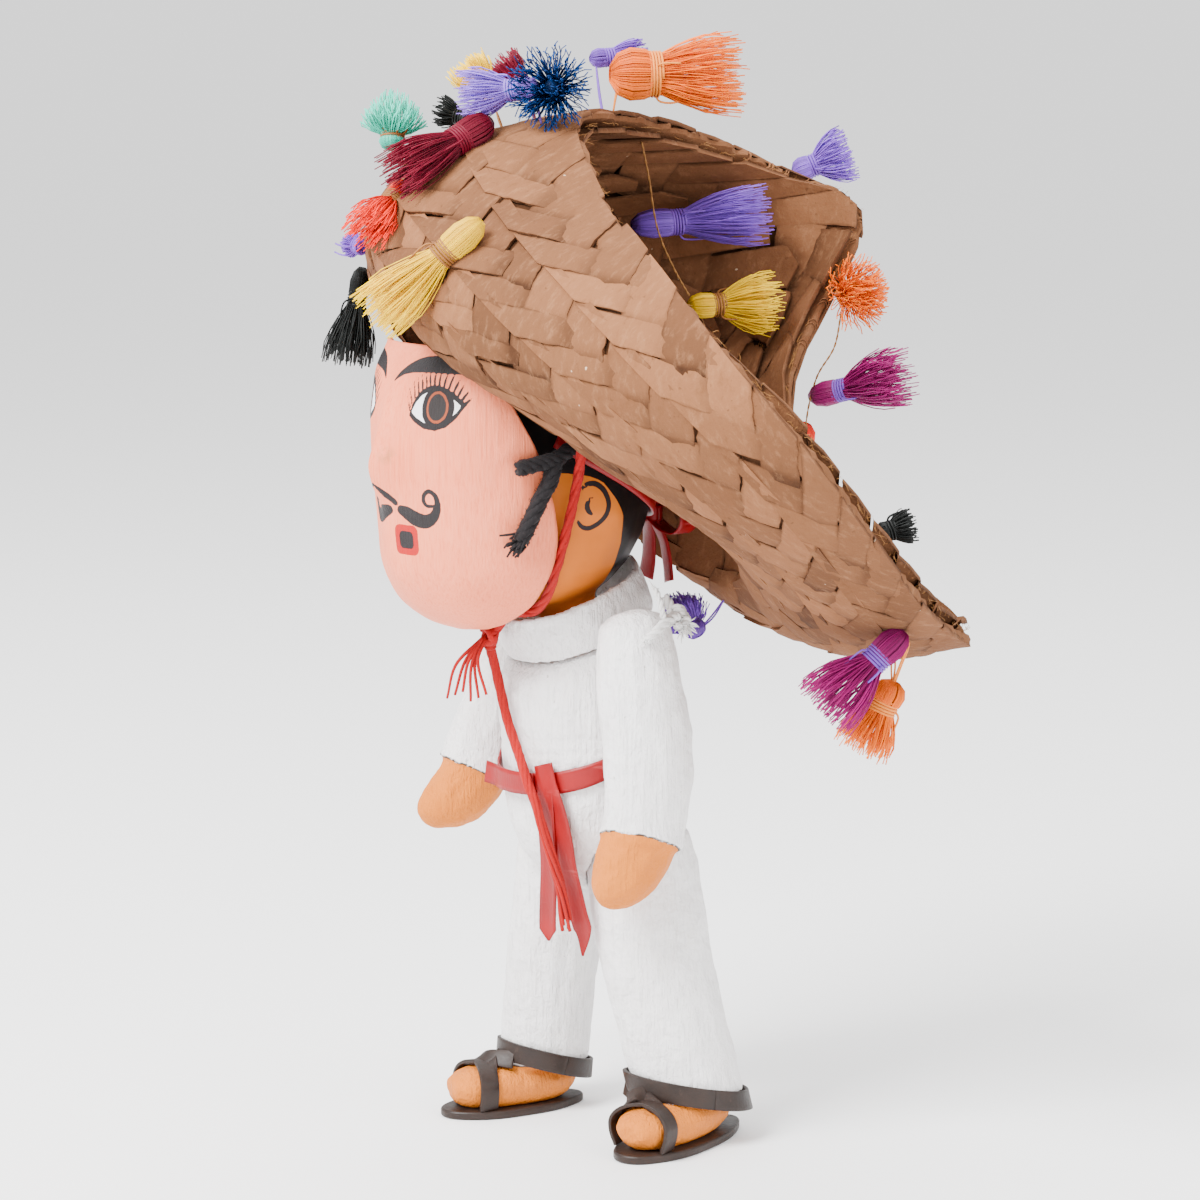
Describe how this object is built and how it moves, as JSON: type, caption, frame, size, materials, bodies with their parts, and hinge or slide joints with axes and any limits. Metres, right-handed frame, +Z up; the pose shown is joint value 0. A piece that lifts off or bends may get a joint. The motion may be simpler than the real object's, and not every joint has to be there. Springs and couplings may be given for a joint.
{
  "type": "papier-mache dancer figure",
  "caption": "Standing papier-mache dancer doll in white clothes with a tied-on face mask, a red sash, flat sandals and a wide plaited hat hung with thread tassels.",
  "frame": {"origin": "on the plane of the soles, under the middle of the box of everything that does not hang on a cord", "axes": "+Z up, -Y the way the figure faces, +X its left side"},
  "size_m": [0.2162, 0.211, 0.3286],
  "materials": {
    "white_paint": "white painted papier-mache, matt, brushed",
    "mask_paint": "pink painted papier-mache, soft sheen",
    "skin_paint": "ochre painted papier-mache with black painted hair",
    "sandal_brown": "dark brown, smooth",
    "red_yarn": "red yarn",
    "red_ribbon": "dark red paper ribbon, satin",
    "black_yarn": "fuzzy black yarn",
    "white_cotton": "white cotton cord, frayed",
    "plaited_bark": "tan bark paper strips, plaited, fibrous",
    "tan_thread": "thin waxed thread",
    "mint_thread": "cotton thread",
    "yellow_thread": "cotton thread",
    "maroon_thread": "cotton thread",
    "lavender_thread": "cotton thread",
    "navy_thread": "cotton thread",
    "black_thread": "cotton thread",
    "scarlet_thread": "cotton thread",
    "orange_thread": "cotton thread",
    "purple_thread": "cotton thread",
    "magenta_thread": "cotton thread"
  },
  "bodies": {
    "root": {"torso": "white_paint", "collar": "white_paint", "head": "skin_paint", "mask": "mask_paint", "left_leg": "white_paint", "right_leg": "white_paint", "left_sole": "sandal_brown", "left_ankle_strap": "sandal_brown", "left_toe_strap": "sandal_brown", "right_sole": "sandal_brown", "right_ankle_strap": "sandal_brown", "right_toe_strap": "sandal_brown", "left_arm": "white_paint", "right_arm": "white_paint", "sash": "red_ribbon", "chin_yarn": "red_yarn", "chin_tail": "red_yarn", "mask_tie": "black_yarn", "headband": "red_ribbon", "headband_bow": "red_ribbon", "hat": "plaited_bark", "tassel_mint": "mint_thread", "tassel_yellow_top": "yellow_thread", "tassel_maroon_top": "maroon_thread", "tassel_lavender": "lavender_thread", "tassel_navy": "navy_thread", "tassel_black_top": "black_thread", "tassel_maroon": "maroon_thread", "tassel_scarlet": "scarlet_thread", "tassel_yellow": "yellow_thread", "tassel_purple_front": "purple_thread", "tassel_black": "black_thread", "tassel_orange": "orange_thread", "tassel_purple_top": "purple_thread", "tassel_purple_far": "purple_thread", "tassel_purple_bowl": "purple_thread", "tassel_yellow_bowl": "yellow_thread", "tassel_orange_corner": "orange_thread", "tassel_magenta_side": "magenta_thread", "tassel_black_back": "black_thread", "tassel_magenta_tail": "magenta_thread", "tassel_orange_tail": "orange_thread", "tassel_purple_nape": "purple_thread", "tassel_mint_far": "mint_thread", "tassel_yellow_far": "yellow_thread", "tassel_scarlet_far": "scarlet_thread", "left_shoulder_cotton": "white_cotton", "right_shoulder_cotton": "white_cotton", "thread_bowl": "tan_thread", "thread_side": "tan_thread"}
  },
  "joints": []
}
